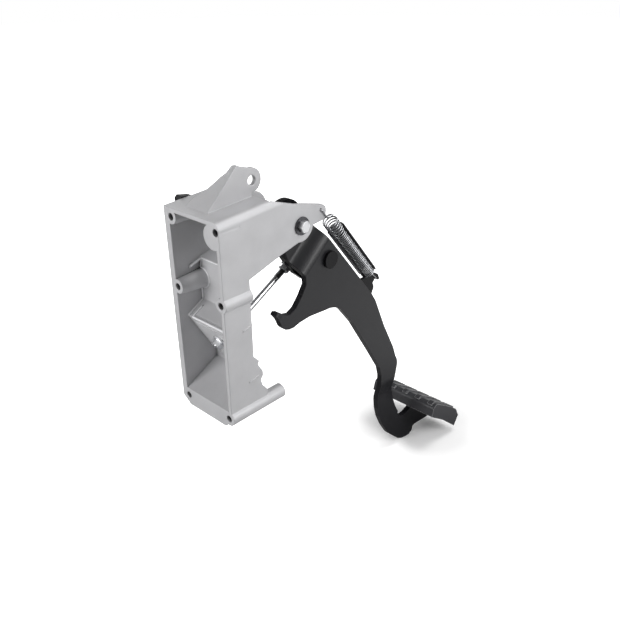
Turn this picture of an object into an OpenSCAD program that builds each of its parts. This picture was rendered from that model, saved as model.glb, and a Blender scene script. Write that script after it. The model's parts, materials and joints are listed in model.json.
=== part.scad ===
// Clutch pedal assembly: cast bracket, pedal, push rod and return spring.
// Origin: centre of the four corner fixing holes, on the fixing face.
// +X points to the driver, +Y to the far side, +Z up. Millimetres.

/* [Fixing face] */
// Distance between the two columns of fixing holes
fix_w = 78; // [76:1:82]
// Distance between the top and bottom fixing holes
fix_h = 240; // [234:1:246]
// Height of the middle fixing holes above the centre
mid_z = 33; // [25:1:40]
// Diameter of the fixing holes
fix_d = 9; // [8:0.5:9.5]
// Thickness of the flange
flange_t = 8; // [6:0.5:10]

/* [Casting] */
// Thickness of the near and far walls
wall_t = 5; // [4:0.5:6]
// Thickness of the roof
roof_t = 5; // [4:0.5:6]
// Length of the roof from the fixing face
roof_l = 80; // [76:1:84]
// Distance from the fixing face to the rear edge of the walls
rear_x = 40; // [39:0.5:41]
// Thickness of the inner walls
inner_t = 4.5; // [4:0.5:5]
// Diameter of the bore in the lug on the roof
lug_d = 12; // [10:0.5:13]
// Thickness of the lug's cheek and front web
lug_t = 5; // [4:0.5:6]
// Diameter of the push rod's hole in the cylinder wall
rod_hole_d = 14; // [13:0.5:15]

/* [Pivot] */
// Distance of the pedal pivot behind the fixing face
pivot_x = 126; // [125:0.5:127]
// Height of the pedal pivot
pivot_z = 95; // [94:0.5:96]
// Diameter of the pivot bolt
bolt_d = 8; // [7:0.5:9]
// Outer diameter of the pivot sleeve
sleeve_d = 14; // [12:0.5:15]
// Outer diameter of the pedal's hub tube
hub_d = 24; // [22:0.5:26]
// Running clearance between the bushes and the sleeve
run_gap = 0.05; // [0.02:0.01:0.1]

/* [Pedal] */
// Thickness of the pedal plate
plate_t = 8; // [7:0.5:9]
// Sideways set of the hub end of the plate
joggle = 16; // [15:0.5:17]
// Sideways set of the foot end of the plate
foot_joggle = 5; // [3:0.5:7]
// Thickness of the inner lever
lever_t = 8; // [6:0.5:9]
// Diameter of the cross stud's head
stud_head_d = 23; // [21:0.5:24]
// Diameter of the cross stud
stud_d = 12; // [10:0.5:13]
// Depth of the foot pad's front edge below the centre of the fixing face
foot_drop = 262; // [256:1:268]
// Width of the foot pad
pad_w = 121; // [112:1:126]
// Length of the foot pad round its bends
pad_l = 99.5; // [95:0.5:101]
// Sheet thickness of the foot pad
pad_t = 3; // [2:0.5:4]
// Height of the pad's front skirt
skirt_h = 24; // [22:1:26]

/* [Push rod] */
// Diameter of the push rod
rod_d = 8; // [7:0.5:9]
// Length of the rod's tip past the stop nut
rod_tip = 1.6; // [1:0.2:6]
// Length of the fork from the cross stud
fork_l = 32; // [30:0.5:34]
// Width across the flats of the rod's nuts
nut_af = 13; // [12:0.5:14]

/* [Return spring] */
// Outer diameter of the coil
coil_d = 20; // [18:0.5:20.5]
// Diameter of the spring wire
wire_d = 2.2; // [2:0.1:2.6]
// Number of turns
turns = 36; // [32:1:40]
// Thickness of the half sleeve along the coil
cover_t = 2; // [1:0.25:2.5]

/* [Hidden] */
$fn = 48;
eps = 0.5;
seat = 0.02;

// Casting: limits of the flange and the walls
half_w = fix_w / 2;
half_h = fix_h / 2;
near_in = -half_w;
near_out = near_in - wall_t;
far_in = half_w + 3;
far_out = far_in + wall_t;
flange_far = half_w + 12;
top_z = half_h + 11;
bot_z = -half_h - 14;
roof_rise = 5;
win_top = half_h + 6;
win_bot = -half_h + 10;
edge_r = 9;
boss_r = fix_d / 2 + 4.5;
boss_big_r = fix_d / 2 + 10.5;
boss_l = 30;
tube_l = 87;
tube_r = fix_d / 2 + 5;
lug_x = 78.8;
lug_z = top_z + 23.6;
lug_y0 = -12;
lug_r = lug_d / 2 + 8.5;
nose_x = 159.7;
nose_z = 106.2;
nose_r = 9.5;
hook_hole_d = wire_d + 1.4;
arm_r = sleeve_d / 2 + 13.5;

// Interior of the casting: shelf, lip, cylinder wall and lower wall
shelf_top = [rear_x - 2.5, 4];
lip = [12.4, -10.7];
cyl_foot = [52.3, -77.7];
low_front = [0.6, -110.1];
ledge_z = 59;
sill_end = 72;
sill_rise = 0.28;
pad_face_y = 32;
pad_face_t = 1.5;
cyl_len = norm(cyl_foot - lip);
cyl_dir = (cyl_foot - lip) / cyl_len;
cyl_back = [-cyl_dir[1], cyl_dir[0]];

// Push rod: its direction from the stud, and the stud
stud_x = pivot_x + 43.6;
stud_z = pivot_z - 54.9;
rod_ang = 28.54;
rod_dir = [-cos(rod_ang), -sin(rod_ang)];
rod_at_wall = ((lip - [stud_x, stud_z]) * cyl_back - pad_face_t) / (rod_dir * cyl_back);
stop_gap = 0.8;
rod_r = rod_d / 2;
nut_t = 0.8 * rod_d;
washer_t = 2;
washer_d = 22.6;
rod_l = rod_at_wall + stop_gap + washer_t + nut_t + rod_tip;
fork_thread = 14;
thread_gap = 0.05;

// Pedal: planes of the plate and its bend lines
arm_y = near_out - 6;
hub_plate_y = arm_y + joggle;
foot_y = arm_y + foot_joggle;
bend_ang = 41;
bend_from = 25;
bend_to = 50;
leg_end = -160;
leg_more = 262 - foot_drop;
foot_bend_top = -203 + leg_more;
foot_bend_low = -234 + leg_more;
rear_a = [234.4, -10.8];
rear_b = [255.5, -36];
rear_c = [267, -53];
bush_l = 14;
hub_y0 = near_in + 2.5;
hub_y1 = far_in - 2.5;
bush_d = sleeve_d + 4;
lever_y = -18;
eye_r = hub_d / 2 + 15;
fork_in = lever_t / 2 + 0.5;
fork_out = fork_in + 4;
stud_y1 = fork_out + 4.5;
clip_t = 1;
head_t = 4;

// Spring: line from the hole in the nose to the hook on the pedal
notch_x = 272.4;
notch_z = -22.8;
spring_y = near_out - wire_d / 2 - 0.6;
spring_ang = 50.4;
spring_l = (notch_x - nose_x) * cos(spring_ang) + (nose_z - notch_z) * sin(spring_ang);
notch_up = (notch_x - nose_x) * sin(spring_ang) - (nose_z - notch_z) * cos(spring_ang);
hook_t = 4.5;
hook_y = spring_y + wire_d / 2 + 0.1;
coil_from = 21.5;
coil_to = spring_l - 26;
sleeve_turn = 38;
open_turns = 6;
open_pitch = 4.6;
coil_r = (coil_d - wire_d) / 2;
wire_sides = 6;

// Pad: front corner, slopes of the skirt and the tread, and the tread's ribs
pad_edge = [373.5, -foot_drop];
skirt_ang = 254;
tread_ang = [-32, -38, -61.5];
tread_part = [0.58, 0.23, 0.19];
edge_roll = 8;
pad_shift = 5.5;
pad_y0 = foot_y + plate_t / 2 + pad_shift - pad_w / 2;
rib_pitch = 25;
rib_w = 9;
rib_h = 2;

// Points of an arc about c, from angle a0 to a1
function arc(c, r, a0, a1, n = 8) =
  [for (i = [0 : n]) let (a = a0 + (a1 - a0) * i / n) [c[0] + r * cos(a), c[1] + r * sin(a)]];

// Smooth step and its slope, for the joggles
function step3(t) = let (u = min(1, max(0, t))) u * u * (3 - 2 * u);
function step3d(t) = let (u = min(1, max(0, t))) 6 * u * (1 - u);

// Unit vector at angle a
function dir(a) = [cos(a), sin(a)];

// Vertices of an open line moved by t to its right-hand side
function beside(line, t) = let (last = len(line) - 1)
  [for (i = [0 : last])
    let (a = line[min(i + 1, last)] - line[min(i, last - 1)],
      b = line[max(i, 1)] - line[max(i - 1, 0)],
      na = [a[1], -a[0]] / norm(a),
      nb = [b[1], -b[0]] / norm(b))
    line[i] + t * (na + nb) / (1 + na * nb)];

function reversed(line) = [for (i = [len(line) - 1 : -1 : 0]) line[i]];

// Outline in x and z, extruded from y0 to y1
module slab(y0, y1) {
  translate([0, y1, 0]) rotate([90, 0, 0]) linear_extrude(y1 - y0) children();
}

// Outline in y and z, extruded from x0 to x1
module plate_x(x0, x1) {
  translate([x0, 0, 0]) rotate([90, 0, 90]) linear_extrude(x1 - x0) children();
}

// Rod along y from y0 to y1
module rod_y(x, z, r, y0, y1) {
  translate([x, y1, z]) rotate([90, 0, 0]) cylinder(h = y1 - y0, r = r);
}

// Rod along x from x0 to x1
module rod_x(y, z, r, x0, x1) {
  translate([x0, y, z]) rotate([0, 90, 0]) cylinder(h = x1 - x0, r = r);
}

// Frame of the push rod: x runs from the stud to the rod's tip
module rod_frame() {
  translate([stud_x, 0, stud_z]) rotate([0, 180 - rod_ang, 0]) children();
}

// Hexagonal nut of thickness h round a bore
module hex_nut(af, h, bore) {
  difference() {
    cylinder(h = h, r = af / 2 / cos(30), $fn = 6);
    translate([0, 0, -eps]) cylinder(h = h + 2 * eps, d = bore);
  }
}

// Flat washer
module washer(d, h, bore) {
  difference() {
    cylinder(h = h, d = d);
    translate([0, 0, -eps]) cylinder(h = h + 2 * eps, d = bore);
  }
}

// Near cheek in x and z, from the tube up the rear edge, round the nose and back
function near_outline() = concat(
  [[0, -half_h], [rear_x + 22, -half_h], [rear_x + 20, -103], [rear_x + 12, -93],
   [rear_x + 10, cyl_foot[1] - 7], [rear_x + 14, cyl_foot[1] - 2],
   [rear_x + 13.5, cyl_foot[1] + 4.5], [rear_x + 6, -62], [rear_x + 8.5, -57],
   [rear_x, -47.6], [rear_x, 53.6],
   [pivot_x - 35, pivot_z - 27]],
  arc([pivot_x, pivot_z], arm_r, -104, -12, 12),
  [[nose_x + 7.7, nose_z - 13.4]],
  arc([nose_x + 0.3, nose_z - 2.7], nose_r, -20, 80, 8),
  [[pivot_x + 6, pivot_z + 25.5], [pivot_x - 8, pivot_z + 28.5],
   [roof_l, top_z + roof_rise], [0, top_z]]);

// Far cheek in x and z: like the near one, with a round end at the pivot
function far_outline() = concat(
  [[0, bot_z + 10], [rear_x + 20, -103], [rear_x + 12, cyl_foot[1] - 6],
   [rear_x + 14, cyl_foot[1] + 2], [rear_x, -47.6], [rear_x, 53.6],
   [pivot_x - 35, pivot_z - 27]],
  arc([pivot_x, pivot_z], arm_r + 4, -104, 74, 20),
  [[roof_l, top_z + roof_rise], [0, top_z]]);

// Flange outline in y and z
module flange_outline() {
  difference() {
    polygon([[near_out, top_z], [near_out, -half_h], [near_out + 3, -half_h - 6],
      [-half_w + 8, bot_z], [flange_far - 13, bot_z], [flange_far, bot_z + 10],
      [flange_far, top_z]]);
    translate([near_in, win_bot]) square([far_in - near_in, win_top - win_bot]);
  }
}

module fixing_holes() {
  for (y = [-half_w, half_w]) {
    rod_x(y, half_h, fix_d / 2, -eps, boss_l + eps);
    rod_x(y, -half_h, fix_d / 2, -eps, tube_l + eps);
    rod_x(y, mid_z, fix_d / 2, -eps, rear_x + 2);
  }
}

// Bosses round the fixing holes
module bosses() {
  intersection() {
    rod_x(-half_w + 5.5, half_h - 6.5, boss_big_r, 0, boss_l);
    translate([0, near_out, 0]) cube([boss_l, fix_w, top_z - roof_t + 1]);
  }
  rod_x(-half_w, mid_z, boss_r, 0, rear_x + 1);
  intersection() {
    rod_x(half_w, half_h, boss_r, 0, boss_l);
    translate([0, 0, bot_z]) cube([boss_l, far_out, top_z - bot_z]);
  }
  rod_x(-half_w, -half_h, tube_r, 0, tube_l);
  rod_x(half_w, -half_h, boss_r, 0, flange_t + 8);
  translate([0, half_w, mid_z]) rotate([0, 90, 0])
    rotate_extrude() polygon([[0, 0], [boss_r, 0], [boss_r + 4, rear_x], [0, rear_x]]);
}

// Lug on the roof: a cheek with the eye and a front web that flares to the far side
module lug() {
  front = [9, top_z - 2];
  crown = [58, lug_z + 21.5];
  slope = atan2(crown[1] - front[1], crown[0] - front[0]);
  run = norm(crown - front);
  web_set = 0.4;
  slab(lug_y0, lug_y0 + lug_t)
    polygon(concat([front, crown, [64, lug_z + 18.5]],
      arc([lug_x, lug_z], lug_r, 95, -60, 12),
      [[lug_x, lug_z - 14], [lug_x - 1, top_z - 1]]));
  translate([front[0], 0, front[1]]) rotate([0, -slope, 0])
    translate([0, 0, -lug_t - web_set])
    linear_extrude(lug_t)
      polygon([[0, lug_y0], [run - 1, lug_y0], [run - 1, -4.5], [56, -2.7], [50, 1.5], [39, 6.5],
        [31, 11], [25, 15], [20, 20], [16, 23], [7, 25.4], [0, 26.4]]);
}

// Inner walls, extruded between the cheeks
module inner_section() {
  slab(near_in - 1, far_in + 1) {
    polygon([[rear_x - 3, 0], [rear_x + 1, 0], [rear_x + 1, ledge_z], [rear_x - 3, ledge_z]]);
    polygon([shelf_top, lip, lip + [0, 0] + inner_t * cyl_back / 2,
      shelf_top + [3.5, -inner_t], shelf_top + [3.5, 0]]);
    polygon([lip, cyl_foot, cyl_foot + inner_t * cyl_back, lip + inner_t * cyl_back]);
    polygon([cyl_foot + [-0.5, -inner_t - 2], low_front, low_front - [0, inner_t],
      cyl_foot + [1.5, -2 * inner_t - 2]]);
    polygon([cyl_foot, cyl_foot + inner_t * cyl_back, cyl_foot + [1.5, -2 * inner_t - 2],
      cyl_foot + [-0.5, -inner_t - 2]]);
    polygon([[rear_x - 3, ledge_z - 5.5], [rear_x, ledge_z - 5.5],
      [sill_end, ledge_z - 5.5 + sill_rise * (sill_end - rear_x)],
      [sill_end, ledge_z + sill_rise * (sill_end - rear_x)], [rear_x - 3, ledge_z]]);
  }
  // raised face for the cylinder
  slab(near_in - 1, pad_face_y)
    polygon([lip + 6 * cyl_dir, lip + 6 * cyl_dir - pad_face_t * cyl_back,
      cyl_foot - 2 * cyl_dir - pad_face_t * cyl_back, cyl_foot - cyl_dir, cyl_foot + cyl_back,
      lip + 6 * cyl_dir + cyl_back]);
  // step on the far wall in front of the sill
  slab(far_in - 3, far_in + 1)
    polygon([[rear_x - 2, ledge_z], [rear_x - 20, ledge_z - 6], [rear_x - 20, ledge_z - 9],
      [rear_x - 2, ledge_z - 3]]);
}

// Low ribs on the near wall's outer side
module wall_ribs() {
  for (p = [[[25.8, -8.4], [rear_x, -5.4]], [[31.3, -81.1], [46.6, -78.1]]])
    slab(near_out - 0.8, near_out + 1)
      polygon([p[0], p[1], p[1] + [0, 1.8], p[0] + [0, 1.8]]);
}

module bracket_casting() {
  color("silver") difference() {
    union() {
      plate_x(0, flange_t) flange_outline();
      slab(near_out, near_in) polygon(near_outline());
      slab(far_in, far_out) polygon(far_outline());
      slab(near_out, flange_far)
        polygon([[0, top_z - roof_t], [roof_l, top_z + roof_rise - roof_t],
          [roof_l, top_z + roof_rise], [0, top_z]]);
      bosses();
      inner_section();
      wall_ribs();
      lug();
    }
    // rounded edge between roof and near wall
    translate([0, near_out, top_z]) rotate([0, -atan(roof_rise / roof_l), 0])
      plate_x(-2 * eps, roof_l + 30)
        polygon(concat([[-eps, eps]], [[-eps, -edge_r]],
          arc([edge_r, -edge_r], edge_r, 176, 94, 7), [[edge_r, eps]]));
    fixing_holes();
    rod_y(pivot_x, pivot_z, bolt_d / 2 + run_gap, near_out - eps, far_out + eps);
    rod_y(lug_x, lug_z, lug_d / 2, lug_y0 - eps, lug_y0 + lug_t + eps);
    rod_y(nose_x, nose_z, hook_hole_d / 2, near_out - eps, near_in + eps);
    rod_frame() translate([rod_at_wall - 12, 0, 0]) rotate([0, 90, 0])
      cylinder(h = 24, d = rod_hole_d);
  }
}

module pivot_bolt() {
  head_y = near_out - washer_t - seat;
  color("gainsboro") union() {
    rod_y(pivot_x, pivot_z, bolt_d / 2, head_y - eps, far_out + washer_t + 13);
    translate([pivot_x, head_y, pivot_z]) rotate([90, 0, 0])
      cylinder(h = 5.5, r = nut_af / 2 / cos(30), $fn = 6);
  }
}

module near_washer() {
  color("gray") translate([pivot_x, near_out, pivot_z]) rotate([90, 0, 0])
    washer(washer_d, washer_t, bolt_d + 8 * run_gap);
}

module far_washer() {
  color("gray") translate([pivot_x, far_out + washer_t, pivot_z]) rotate([90, 0, 0])
    washer(washer_d, washer_t, bolt_d + 8 * run_gap);
}

module pivot_nut() {
  color("gainsboro") translate([pivot_x, far_out + washer_t + 7, pivot_z]) rotate([90, 0, 0])
    hex_nut(nut_af, 7 - seat, bolt_d + 2 * thread_gap);
}

module pivot_sleeve() {
  color("silver") translate([pivot_x, far_in - seat, pivot_z]) rotate([90, 0, 0])
    washer(sleeve_d, far_in - near_in - 2 * seat, bolt_d + 2 * run_gap);
}

// Block on the outside of the far wall, under the roof's edge, and its screws
block_t = 15;
block_screws = [29, 40.5];
module switch_block() {
  color([0.07, 0.07, 0.08]) difference() {
    slab(far_out + seat, far_out + block_t)
      polygon([[24, top_z - 18], [24, top_z + 1], [27, top_z + 4], [43, top_z + 1],
        [45.5, top_z - 1], [45.5, top_z - 18]]);
    translate([-eps, far_out - eps, top_z - roof_t - eps])
      cube([roof_l, flange_far - far_out + eps + seat, roof_t + roof_rise + eps]);
    for (x = block_screws) rod_y(x, top_z - 13, 2.1, far_out - eps, far_out + 20);
  }
}

module switch_screws() {
  color("gainsboro") for (x = block_screws) union() {
    rod_y(x, top_z - 13, 2, far_out + 2, far_out + block_t + 1);
    rod_y(x, top_z - 13, 4, far_out + block_t + seat, far_out + block_t + 3);
  }
}

// Pedal outline in x and z, clockwise from the hub's rear side
function pedal_outline() = concat(
  arc([pivot_x, pivot_z], hub_d / 2 + 7, 170, 30, 12),
  [[168.3, 68.9], rear_a, rear_b, rear_c, [290, -103], [315, -149.5]],
  lowered(concat(
    arc([302, -184], 25.5, 38, -18, 6),
    [[323.5, -206], [322, -221], [323.5, -236], [328, -252], [335.5, -270], [344, -285]],
    arc([361, -281], 19.5, -155, -60, 5),
    [[378, -296], [381, -281.5]])),
  foot_top(),
  lowered([[447, -334], [440, -342], [421, -340.5], [406, -338.5], [394, -337.5],
    [389.5, -339.5], [388.2, -346], [381, -350.8], [370.4, -350.3], [358, -347.2],
    [348.7, -342.5], [336.5, -331.5], [320, -315.5], [304.1, -291], [294, -270], [289, -252],
    [287.3, -236], [287.6, -220], [288.5, -203], [288, -188.6], [283.1, -171.9]]),
  [[260.9, -136.6], [217.7, -70]],
  arc([164.5, -70.5], 41.5, 40, 92, 8),
  [[132.7, -26.8], [114, -28.4], [103.6, -31.2], [95.5, -31], [88.5, -28.5], [83, -23],
   [78.9, -13.3], [75.3, -6], [78.5, -2.9], [82, -3.2], [90.5, -9.3], [98.4, -11],
   [107.5, -6.7], [118, 5.3], [127, 19], [126, 30], [112, 52], [104, 72]]);

// Points of the leg below leg_end, moved with the foot
function lowered(pts) = [for (p = pts) [p[0], p[1] + leg_more * min(1, (leg_end + 25 - p[1]) / 25)]];

// Top side of the tread from the pad's front corner to its rear end
function tread() =
  [for (i = [0 : 3]) pad_edge
    + (i > 0 ? pad_l * tread_part[0] * dir(tread_ang[0]) : [0, 0])
    + (i > 1 ? pad_l * tread_part[1] * dir(tread_ang[1]) : [0, 0])
    + (i > 2 ? pad_l * tread_part[2] * dir(tread_ang[2]) : [0, 0])];

// Top edge of the foot, just under the tread
function foot_top() = let (t = beside(tread(), pad_t + seat))
  [t[0] + 14 * dir(tread_ang[0]), t[1], t[2], t[3]];

// Bent sheet in the plane across its bend lines: points [u, y] of one face
function sheet_face(u0, u1, b0, b1, y0, dy, side, n = 14) =
  [for (i = [-1 : n + 1])
    let (t = i < 0 ? 0 : i > n ? 1 : i / n,
      u = i < 0 ? u0 : i > n ? u1 : b0 + (b1 - b0) * t,
      s = dy * step3d(t) / (b1 - b0),
      k = sqrt(1 + s * s))
    [u - side * s / k * plate_t / 2, y0 + dy * step3(t) + side / k * plate_t / 2]];

function sheet(u0, u1, b0, b1, y0, dy) =
  let (a = sheet_face(u0, u1, b0, b1, y0, dy, 1), b = sheet_face(u0, u1, b0, b1, y0, dy, -1))
  concat(a, [for (i = [len(b) - 1 : -1 : 0]) b[i]]);

// Upper sheet: u runs from the hub down across the bend lines
module upper_sheet() {
  translate([pivot_x, 0, pivot_z]) rotate([0, 90 - bend_ang, 0])
    translate([0, 0, -200]) linear_extrude(400)
      polygon(sheet(-60, 420, bend_from, bend_to, hub_plate_y + plate_t / 2, -joggle));
}

// Lower sheet: u runs down from the middle of the leg
module lower_sheet() {
  rotate([0, 90, 0]) translate([0, 0, 150]) linear_extrude(400)
    polygon(sheet(155, 400, -foot_bend_top, -foot_bend_low, arm_y + plate_t / 2, foot_joggle));
}

module pedal_arm() {
  color([0.2, 0.2, 0.21]) difference() {
    intersection() {
      slab(-90, 0) polygon(pedal_outline());
      union() {
        intersection() {
          upper_sheet();
          translate([0, -90, -160]) cube([500, 90, 400]);
        }
        lower_sheet();
      }
    }
    rod_y(pivot_x, pivot_z, hub_d / 2 + 2 * seat, -90, 0);
    rod_y(stud_x, stud_z, stud_d / 2 + thread_gap, arm_y - eps, arm_y + 40);
  }
}

module hub_tube() {
  color([0.16, 0.16, 0.17]) translate([pivot_x, hub_y1, pivot_z]) rotate([90, 0, 0])
    washer(hub_d, hub_y1 - hub_y0, bush_d + 2 * seat);
}

// Flanged bush: flange outside the hub tube, barrel inside it
module bush(len) {
  difference() {
    union() {
      cylinder(h = 2, d = hub_d - 1);
      cylinder(h = len + 2, d = bush_d);
    }
    translate([0, 0, -eps]) cylinder(h = len + 3, d = sleeve_d + 2 * run_gap);
  }
}

module near_bush() {
  color([0.85, 0.83, 0.75]) translate([pivot_x, hub_y0 - 2 - seat, pivot_z])
    rotate([-90, 0, 0]) bush(bush_l);
}

module far_bush() {
  color([0.85, 0.83, 0.75]) translate([pivot_x, hub_y1 + 2 + seat, pivot_z])
    rotate([90, 0, 0]) bush(bush_l);
}

module inner_lever() {
  color([0.13, 0.13, 0.14]) difference() {
    slab(lever_y, lever_y + lever_t) union() {
      translate([pivot_x, pivot_z]) circle(r = eye_r);
      polygon([[pivot_x - 24, pivot_z - 12], [pivot_x - 10, pivot_z - 42],
        [pivot_x - 1, pivot_z - 55], [pivot_x + 8, pivot_z - 66], [stud_x - 30, stud_z - 20],
        [stud_x - 15, stud_z - 33], [stud_x - 2, stud_z - 40], [stud_x + 14, stud_z - 22],
        [stud_x + 18, stud_z], [stud_x + 10, stud_z + 16], [pivot_x + 20, pivot_z + 18]]);
    }
    rod_y(pivot_x, pivot_z, hub_d / 2 + 2 * seat, lever_y - eps, lever_y + lever_t + eps);
    rod_y(stud_x, stud_z, stud_d / 2 + thread_gap, lever_y - eps, lever_y + lever_t + eps);
  }
}

module cross_stud() {
  color([0.15, 0.15, 0.16]) difference() {
    union() {
      rod_y(stud_x, stud_z, stud_head_d / 2, arm_y - head_t, arm_y - seat);
      rod_y(stud_x, stud_z, stud_d / 2, arm_y - head_t, stud_y1);
    }
    translate([stud_x, fork_out + 0.5 + clip_t + seat, stud_z]) rotate([90, 0, 0])
      washer(stud_d + 4, clip_t + 2 * seat, stud_d - 1.6);
  }
}

module stud_clip() {
  color("dimgray") translate([stud_x, fork_out + 0.5 + clip_t, stud_z]) rotate([90, 0, 0])
    difference() {
      cylinder(h = clip_t, d = stud_d + 5);
      translate([0, 0, -eps]) cylinder(h = clip_t + 2 * eps, d = stud_d - 1.4);
      translate([0, -2, -eps]) cube([stud_d, 4, clip_t + 2 * eps]);
    }
}

// Hook plate on the pedal's rear edge, with an open notch for the wire
module spring_hook() {
  base = beside([rear_a, rear_b, rear_c], -seat);
  color([0.12, 0.12, 0.13]) slab(hook_y, hook_y + hook_t)
    polygon(concat(
      [base[0] + 0.2 * (rear_b - rear_a), [notch_x - 31.1, notch_z + 8.6],
       [notch_x - 21.5, notch_z + 8.7], [notch_x - 5, notch_z + 9.5],
       [notch_x + 0.9, notch_z + 7.9], [notch_x + 5.5, notch_z + 4.5],
       [notch_x + 8.8, notch_z - 3], [notch_x + 5.5, notch_z - 4]],
      arc([notch_x, notch_z], 2.4, -30, 195, 8),
      [[notch_x - 6.3, notch_z - 4.7], [notch_x - 4.2, notch_z - 9],
       [notch_x - 3.7, notch_z - 12.5], [notch_x - 7.6, notch_z - 20.1],
       base[1] + 0.75 * (rear_c - rear_b), base[1]]));
}

// Section of the pad: skirt, rolled front edge and tread, seen from the near side
function pad_line() = let (t = tread(), half = (tread_ang[0] + 360 - skirt_ang) / 2)
  concat([pad_edge + skirt_h * dir(skirt_ang)],
    arc(pad_edge + edge_roll / sin(half) * dir(skirt_ang + half), edge_roll,
      skirt_ang - 90, tread_ang[0] + 90, 6),
    [t[1], t[2], t[3]]);

module pedal_pad() {
  line = pad_line();
  last = len(line) - 1;
  ribbed = [for (i = [3 : last - 1]) line[i]];
  skirt_foot = line[last] + 20 * dir(skirt_ang - 16);
  color([0.17, 0.17, 0.18]) union() {
    slab(pad_y0, pad_y0 + pad_w) polygon(concat(line, reversed(beside(line, pad_t))));
    for (y = [pad_y0, pad_y0 + pad_w - pad_t])
      slab(y, y + pad_t)
        polygon(concat(line, [skirt_foot, skirt_foot + [-37.9, 32.2]]));
    for (i = [-2 : 2])
      translate([0, pad_y0 + pad_w / 2 + i * rib_pitch - rib_w / 2, 0])
        slab(0, rib_w)
          polygon(concat(beside(ribbed, -rib_h), reversed(beside(ribbed, pad_t / 2))));
  }
}

module rod_fork() {
  color([0.14, 0.14, 0.15]) rod_frame() difference() {
    union() {
      for (y = [-fork_out, fork_in]) slab(y, y + 4)
        union() {
          circle(r = stud_d / 2 + 5);
          translate([0, -stud_d / 2 - 4]) square([22, stud_d + 8]);
        }
      slab(-fork_out, fork_out) translate([17, -stud_d / 2 - 4]) square([6, stud_d + 8]);
      translate([17, 0, 0]) rotate([0, 90, 0]) cylinder(h = fork_l - 17, r = rod_r + 4);
    }
    rod_y(0, 0, stud_d / 2 + run_gap, -20, 20);
    rotate([0, 90, 0]) cylinder(h = fork_l + eps, r = rod_r + thread_gap);
  }
}

module rod_lock_nut() {
  color("gainsboro") rod_frame() translate([fork_l + seat, 0, 0]) rotate([0, 90, 0])
    hex_nut(nut_af, nut_t, rod_d + 2 * thread_gap);
}

module push_rod() {
  color("silver") rod_frame() translate([fork_l - fork_thread, 0, 0]) rotate([0, 90, 0])
    cylinder(h = rod_l - fork_l + fork_thread, r = rod_r);
}

module stop_washer() {
  color("gainsboro") rod_frame() translate([rod_at_wall + stop_gap, 0, 0]) rotate([0, 90, 0])
    washer(rod_hole_d + 6, washer_t, rod_d + 2 * thread_gap);
}

module stop_nut() {
  color("gainsboro") rod_frame() translate([rod_at_wall + stop_gap + washer_t + seat, 0, 0])
    rotate([0, 90, 0]) hex_nut(nut_af, nut_t, rod_d + 2 * thread_gap);
}

// Frame of the spring: x runs from the hole in the nose to the hook
module spring_frame() {
  translate([nose_x, spring_y, nose_z]) rotate([0, spring_ang, 0]) children();
}

// Height along the coil after a number of turns: open turns first, close ones after
close_pitch = (coil_to - coil_from - open_turns * open_pitch) / (turns - open_turns);
function coil_at(n) =
  coil_from + (n < open_turns ? n * open_pitch : open_turns * open_pitch + (n - open_turns) * close_pitch);

// Centre line of the wire: hook, coil, hook
function spring_line() = concat(
  [[0, wall_t + 1, 0], [0, 2, 0], [1.2, 0.3, 0], [3, 0, 0], [coil_from - 5, 0, 0],
   [coil_from - 2, 0, coil_r * 0.6]],
  [for (i = [0 : turns * 14]) let (a = 360 * i / 14)
    [coil_at(i / 14), coil_r * sin(a), coil_r * cos(a)]],
  [[coil_to + 2, 0, coil_r * 0.6], [coil_to + 6, 0, notch_up / 2], [spring_l - 3, 0, notch_up],
   [spring_l - 1.2, 0.3, notch_up], [spring_l, 2, notch_up], [spring_l, 8, notch_up]]);

// Cross-sections of the wire, square to its centre line
function wire_rings(pts) = let (last = len(pts) - 1)
  [for (i = [0 : last])
    let (d = pts[min(i + 1, last)] - pts[max(i - 1, 0)],
      t = d / norm(d),
      up = abs(t[0]) > 0.7 ? [0, 0, 1] : [1, 0, 0],
      u0 = cross(t, up),
      u = u0 / norm(u0),
      v = cross(t, u))
    for (k = [0 : wire_sides - 1]) let (a = 360 * k / wire_sides)
      pts[i] + wire_d / 2 * (u * cos(a) + v * sin(a))];

module return_spring() {
  pts = spring_line();
  rings = len(pts);
  color([0.55, 0.56, 0.58]) spring_frame() polyhedron(
    points = wire_rings(pts),
    faces = concat(
      [[for (k = [0 : wire_sides - 1]) wire_sides - 1 - k]],
      [for (i = [0 : rings - 2], k = [0 : wire_sides - 1])
        let (a = i * wire_sides + k, b = i * wire_sides + (k + 1) % wire_sides)
        [a, b, b + wire_sides, a + wire_sides]],
      [[for (k = [0 : wire_sides - 1]) (rings - 1) * wire_sides + k]]));
}

module spring_sleeve() {
  r_in = coil_d / 2 + 0.3;
  from = coil_from + 21;
  color([0.08, 0.08, 0.09]) spring_frame() translate([from, 0, 0]) rotate([0, 90, 0])
    difference() {
      cylinder(h = coil_to - from, r = r_in + cover_t);
      translate([0, 0, -eps]) cylinder(h = coil_to - from + 2, r = r_in);
      rotate([0, 0, -sleeve_turn]) translate([0, -coil_d, -eps])
        cube([2 * coil_d, 2 * coil_d, coil_to - from + 2]);
    }
}

bracket_casting();
pivot_bolt();
near_washer();
far_washer();
pivot_nut();
pivot_sleeve();
switch_block();
switch_screws();
pedal_arm();
hub_tube();
near_bush();
far_bush();
inner_lever();
cross_stud();
stud_clip();
spring_hook();
pedal_pad();
rod_fork();
rod_lock_nut();
push_rod();
stop_washer();
stop_nut();
return_spring();
spring_sleeve();
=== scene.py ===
"""Clutch pedal assembly: finishes, interior fillets, threads, spring wire, studio and camera.

Shapes are worked out in millimetres, and mesh_object turns them to metres. Materials, lamps and
the camera take metres, as Blender does.
"""
import json
import math

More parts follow.
